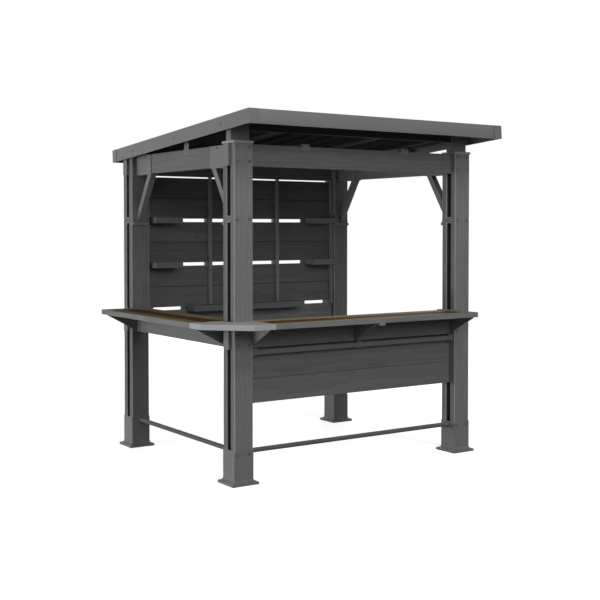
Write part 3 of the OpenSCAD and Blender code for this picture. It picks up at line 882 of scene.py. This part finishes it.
for name, way in (("fascia_left", 1), ("fascia_right", -1)):
    low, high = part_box(name)
    y = low.y + FASCIA_FIRST
    outside = low.x - STAND_OFF if way > 0 else high.x + STAND_OFF
    while y < high.y - FASCIA_LAST:
        level = bottom_edge(name, y) + FASCIA_UP
        place, normal = shot(name, (outside, y, level), (way, 0, 0))
        put(screws, place, normal)
        y += FASCIA_STEP
print("screws in shoes and fascias:", len(screws))

# %% [markdown]
# ## Screws on the roof
#
# The sheet is screwed down in its pans, the flats between the ribs: above the front beam, above
# the back beam and along its middle. Number and spacing are a guess. The ribs are found in the
# mesh, as the places along its front end that reach full height, so the screws keep to the
# pans if the ribs move.

# %% Screws along the roof sheet's pans
FRONT_STRIP = 25 * MM
CREST_SLACK = 6 * MM
roof_low, roof_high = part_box("roof_sheet")
front_end = [v.co for v in nodes["roof_sheet"].data.vertices
             if v.co.y < roof_low.y + FRONT_STRIP]
crests = sorted({round(v.x, 4) for v in front_end if v.z > roof_high.z - CREST_SLACK})
pans = [roof_low.x] + crests + [roof_high.x]
pans = [(a + b) / 2 for a, b in zip(pans[::2], pans[1::2])]
rows = [middle("beam_front").y, middle("beam_back").y, 0.5 * (roof_low.y + roof_high.y)]
roof_screws = []
for y in rows:
    for x in pans:
        place, normal = shot("roof_sheet", (x, y, roof_high.z + STAND_OFF), (0, 0, -1))
        put(roof_screws, place, normal)
print("roof pans:", len(pans), " roof screws:", len(roof_screws))

# %% Driving the fasteners


def drive(name, where, radius, height, washer, material):
    """Heads on all places of a list: washer is the disc's radius over the dome's."""
    seeds = bpy.data.meshes.new(name + "_places")
    seeds.from_pydata([tuple(place) for place, _ in where], [], [])
    aims = seeds.attributes.new("aim", "FLOAT_VECTOR", "POINT")
    for index, (_, aim) in enumerate(where):
        aims.data[index].vector = aim
    mesh = grow(name, heads_tree, {"Radius": radius, "Height": height, "Washer": washer,
                                   "Material": material}, seeds)
    piece = joined(name, [mesh], material)
    piece.data.shade_smooth()
    piece.data.set_sharp_from_angle(angle=SMOOTH_BELOW)
    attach(piece, "root")
    print(name, "faces:", len(piece.data.polygons))
    return piece


drive("post_bolts", heads, radius=9.5 * MM, height=7.5 * MM, washer=1.3,
      material=bolt_steel)
drive("shoe_and_fascia_screws", screws, radius=7 * MM, height=2.8 * MM, washer=1.2,
      material=dark_steel)
drive("roof_screws", roof_screws, radius=5 * MM, height=4 * MM, washer=1.6,
      material=dark_steel)

# %% [markdown]
# ## Joint lines of the fascias
#
# The side fascias fold round the front corners and the back one folds round the back corners,
# each with a short tab. A thin dark bead lies in the step where such a tab ends, a painted
# shadow of the step, and the bead at the back right corner only repeats the others. That it
# is sealant is a guess, and the bead at the back right corner only repeats the others.
# The ends are read from the CAD meshes: the outermost row of corners of each tab.

# %% Dark beads: painted shadow in the tab steps
BEAD = 2.6 * MM
BEAD_SHORTER = 2 * MM
TAB_SLACK = 14 * MM


def tab_end(node, axis, way, side=0):
    """Lower and upper inner corner of the tab that reaches farthest along an axis."""
    spots = [v.co.copy() for v in nodes[node].data.vertices if side * v.co.x >= 0]
    reach = max(way * spot[axis] for spot in spots)
    spots = [spot for spot in spots if way * spot[axis] > reach - TAB_SLACK]
    middle_z = (min(p.z for p in spots) + max(p.z for p in spots)) / 2
    other = 1 - axis
    ends = []
    for part in ([p for p in spots if p.z < middle_z], [p for p in spots if p.z >= middle_z]):
        ends.append(min(part, key=lambda p: abs(p[other])))
    return ends


bm = bmesh.new()
for low_end, high_end in (tab_end("fascia_left", 0, 1), tab_end("fascia_right", 0, -1),
                          tab_end("fascia_back", 1, -1, -1), tab_end("fascia_back", 1, -1, 1)):
    run = high_end - low_end
    turn = Vector((0, 0, 1)).rotation_difference(run).to_matrix().to_4x4()
    bmesh.ops.create_cone(bm, cap_ends=True, segments=10, radius1=BEAD, radius2=BEAD,
                          depth=run.length - BEAD_SHORTER,
                          matrix=Matrix.Translation((low_end + high_end) / 2) @ turn)
    print("bead length mm:", round(run.length / MM), "at", [round(v, 3) for v in low_end])
# The beads are dark: a painted shadow in the step of each tab.
painted_shadow_beads = as_object("fascia_joint_painted_shadow", bm, dark_steel)
painted_shadow_beads.data.shade_smooth()
painted_shadow_beads.data.set_sharp_from_angle(angle=SMOOTH_BELOW)
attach(painted_shadow_beads, "root")

# %% [markdown]
# ## Studio
#
# The gazebo stands on a plain pale floor. The floor shows white to the camera and in
# reflections, and keeps the gazebo's soft shadow close by. To other rays it is darker, so the
# undersides of the roof and the counter stay deep. One colour for all rays would be simpler,
# but a white floor throws light up under the roof.

# %% Floor and backdrop
FLOOR_REACH = 40
FLOOR_GAP = 0.5 * MM
scene = bpy.context.scene
scene.view_settings.view_transform = "Standard"


def seen(w):
    """True for rays that look: straight from the camera, mirrored or passed through glass."""
    path = w.node("ShaderNodeLightPath").outputs
    looks = w.math("ADD", path["Is Camera Ray"], path["Is Glossy Ray"], clamp=True)
    return w.math("ADD", looks, path["Is Transmission Ray"], clamp=True)


NEAR, FAR = 1.2, 5.5
paper, w = new_material("studio_paper")
place = w.node("ShaderNodeTexCoord").outputs["Object"]
reach = w.node("ShaderNodeVectorMath", {0: place}, operation="LENGTH").outputs["Value"]
away = w.node("ShaderNodeMapRange", {"Value": reach, "From Min": NEAR, "From Max": FAR,
                                     "To Min": 0.80, "To Max": 1.0}).outputs["Result"]
glow = w.node("ShaderNodeEmission", {"Color": grey(1.0), "Strength": away})
pale = w.node("ShaderNodeBsdfDiffuse", {"Color": grey(0.80)})
shown = w.node("ShaderNodeAddShader", {0: glow.outputs[0], 1: pale.outputs[0]})
dull = w.node("ShaderNodeBsdfDiffuse", {"Color": grey(0.10)})
floor_look = w.node("ShaderNodeMixShader", {0: seen(w), 1: dull.outputs[0],
                                            2: shown.outputs[0]})
w.node("ShaderNodeOutputMaterial", {"Surface": floor_look.outputs[0]})

floor_mesh = bpy.data.meshes.new("floor")
corners = [(x * FLOOR_REACH, y * FLOOR_REACH, 0) for x, y in ((-1, -1), (1, -1), (1, 1), (-1, 1))]
floor_mesh.from_pydata(corners, [], [(0, 1, 2, 3)])
floor_mesh.materials.append(paper)
floor = bpy.data.objects.new("floor", floor_mesh)
floor.location.z = cad_low.z - FLOOR_GAP
scene.collection.objects.link(floor)
floor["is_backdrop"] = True

world = bpy.data.worlds.new("studio")
scene.world = world
world.use_nodes = True
world.node_tree.nodes.clear()
w = Wires(world.node_tree)
soft = w.node("ShaderNodeBackground", {"Color": grey(1.0), "Strength": 0.02})
white = w.node("ShaderNodeBackground", {"Color": grey(1.0), "Strength": 1.0})
both = w.node("ShaderNodeMixShader", {0: seen(w), 1: soft.outputs[0], 2: white.outputs[0]})
w.node("ShaderNodeOutputWorld", {"Surface": both.outputs[0]})
print("floor level:", round(floor.location.z, 4))

# %% [markdown]
# ## Lamps
#
# Two broad low lamps from the left light that side, three from the front fill the rest, and
# one from behind keeps the back readable. Large rectangles give soft shadows. All of them aim
# at one point in the middle of the gazebo, and each row of the table gives a lamp's place, its
# width and height in metres and its power in watts.

# %% Lamps
AIM = Vector((0.0, 0.0, 1.3))
LAMPS = {
    "left_lamp": ((-9.0, 0.0, 0.8), 4.0, 2.0, 255),
    "far_left_lamp": ((-9.0, 3.0, 1.2), 4.0, 2.0, 290),
    "front_lamp": ((0.0, -8.8, 4.3), 5.0, 4.0, 233),
    "high_lamp": ((0.0, -6.0, 8.0), 4.0, 3.0, 229),
    "corner_lamp": ((-4.5, -7.5, 5.0), 4.0, 3.0, 122),
    "back_lamp": ((7.0, 7.0, 4.5), 4.0, 3.0, 150),
}
for name, (place, width, height, power) in LAMPS.items():
    data = bpy.data.lights.new(name, "AREA")
    data.shape = "RECTANGLE"
    data.size, data.size_y, data.energy = width, height, power
    lamp = bpy.data.objects.new(name, data)
    lamp.location = place
    lamp.rotation_euler = (AIM - Vector(place)).to_track_quat("-Z", "Y").to_euler()
    scene.collection.objects.link(lamp)
print("lamps:", ", ".join(LAMPS))

# %% [markdown]
# ## Camera
#
# The camera stands at about eye height, left of the front. A long lens keeps the uprights
# close to parallel, and a small shift puts the roof and the feet both in the frame.

# %% Camera
view = bpy.data.cameras.new("camera")
view.lens = 64.88
view.sensor_width = 36.0
view.shift_x, view.shift_y = 0.00833, -0.0709
camera = bpy.data.objects.new("camera", view)
camera.location = (-4.4917, -6.7277, 1.6795)
camera.rotation_euler = (math.radians(88.42), 0.0, math.radians(-33.93))
scene.collection.objects.link(camera)
scene.camera = camera

# %% [markdown]
# ## Room and finish
#
# Both boxes, the CAD model's and the dressed gazebo's, are measured, and the growth on
# each of the six sides is printed. Dressing may not make the gazebo larger than its CAD
# model.

# %% Check the room and finish
low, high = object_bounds()
print("grown beyond the CAD box by mm:",
      [round(max(b, 0) / MM, 2) for b in (*(cad_low - low), *(high - cad_high))])
